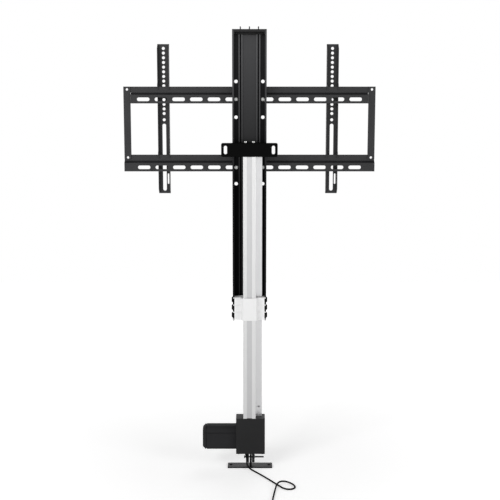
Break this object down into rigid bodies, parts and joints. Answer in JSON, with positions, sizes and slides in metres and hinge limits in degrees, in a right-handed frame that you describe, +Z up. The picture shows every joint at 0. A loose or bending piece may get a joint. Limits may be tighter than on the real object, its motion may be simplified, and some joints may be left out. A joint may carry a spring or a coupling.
{
  "type": "motorized tv lift mount",
  "caption": "Motor driven screen lift: silver column on a hinged foot, black sliding channel with slotted rails and two hooked screen arms, gearbox, side motor and cord.",
  "frame": {"origin": "point under the column's centre, on the face that stands on the floor", "axes": "+Z up along the column, +Y towards the screen, -Y towards the wall, +X to the right seen from the wall side"},
  "size_m": [0.713, 0.4589, 1.2707],
  "materials": {
    "silver_profile": "satin anodised",
    "black_frame": "satin powder coat",
    "black_bracket": "satin powder coat",
    "black_casing": "fine texture",
    "white_plastic": "smooth moulded",
    "black_plastic": "smooth moulded",
    "grey_casting": "as cast",
    "zinc_steel": "zinc plated",
    "black_steel": "blackened",
    "bright_steel": "ground",
    "motor_steel": "satin",
    "bronze": "machined",
    "cord_black": "matt",
    "plug_black": "satin",
    "nickel": "bright"
  },
  "bodies": {
    "column": {"column_profile": "silver_profile", "column_top_block": "grey_casting", "column_foot_block": "grey_casting", "screw_bush": "bronze", "wall_bracket": "black_bracket", "wall_bracket_screws": "zinc_steel", "column_foot_screws": "zinc_steel", "glide_plate": "black_steel", "glide_screws": "zinc_steel", "upper_glides": "black_plastic", "gearbox_housing": "black_casing", "gearbox_base": "black_casing", "base_screws": "zinc_steel", "screw_bearings": "bright_steel", "worm_bearings": "bright_steel", "motor_can": "motor_steel", "motor_end_plate": "bright_steel", "motor_cover": "black_casing", "cable_gland": "cord_black", "motor_cord": "cord_black", "cord_coil": "cord_black", "plug_strain_relief": "cord_black", "connector_body": "plug_black", "connector_shell": "nickel"},
    "screw": {"lead_screw": "bright_steel", "worm_wheel": "bronze"},
    "motor": {"worm_shaft": "bright_steel", "armature": "motor_steel"},
    "carriage": {"lift_profile": "black_frame", "lift_top_cap": "black_frame", "top_studs": "zinc_steel", "guide_collar": "white_plastic", "collar_screws": "black_steel", "drive_nut": "bronze", "nut_carrier": "grey_casting", "carrier_screws": "zinc_steel", "tv_rail_top": "black_frame", "tv_rail_bottom": "black_frame", "end_bar_left": "black_frame", "end_bar_right": "black_frame", "rail_bolts": "zinc_steel", "rivet_nuts": "zinc_steel"},
    "arm_left": {"tv_arm_left": "black_frame"},
    "arm_right": {"tv_arm_right": "black_frame"},
    "foot": {"foot_plate": "black_bracket", "clevis_pin": "zinc_steel", "pin_clip": "zinc_steel"}
  },
  "joints": [
    {"name": "lift", "type": "slide", "parent": "column", "child": "carriage", "axis": [0, 0, 1], "range_m": [-0.27, 0.33]},
    {"name": "screw_spin", "type": "hinge", "parent": "column", "child": "screw", "pos_m": [0, -0.009, 0.5], "axis": [0, 0, 1], "continuous": true},
    {"name": "motor_spin", "type": "hinge", "parent": "column", "child": "motor", "pos_m": [0, 0.0103, 0.0888], "axis": [1, 0, 0], "continuous": true},
    {"name": "arm_left_slide", "type": "slide", "parent": "carriage", "child": "arm_left", "axis": [1, 0, 0], "range_m": [-0.056, 0.144]},
    {"name": "arm_right_slide", "type": "slide", "parent": "carriage", "child": "arm_right", "axis": [1, 0, 0], "range_m": [-0.1355, 0.0645]},
    {"name": "foot_tilt", "type": "hinge", "parent": "column", "child": "foot", "pos_m": [0, -0.004, 0.0285], "axis": [1, 0, 0], "range_deg": [-5, 5]}
  ],
  "couplings": [
    {"joint": "screw_spin", "follows": "lift", "rad_per_m": -314.16},
    {"joint": "motor_spin", "follows": "lift", "rad_per_m": -1885}
  ]
}
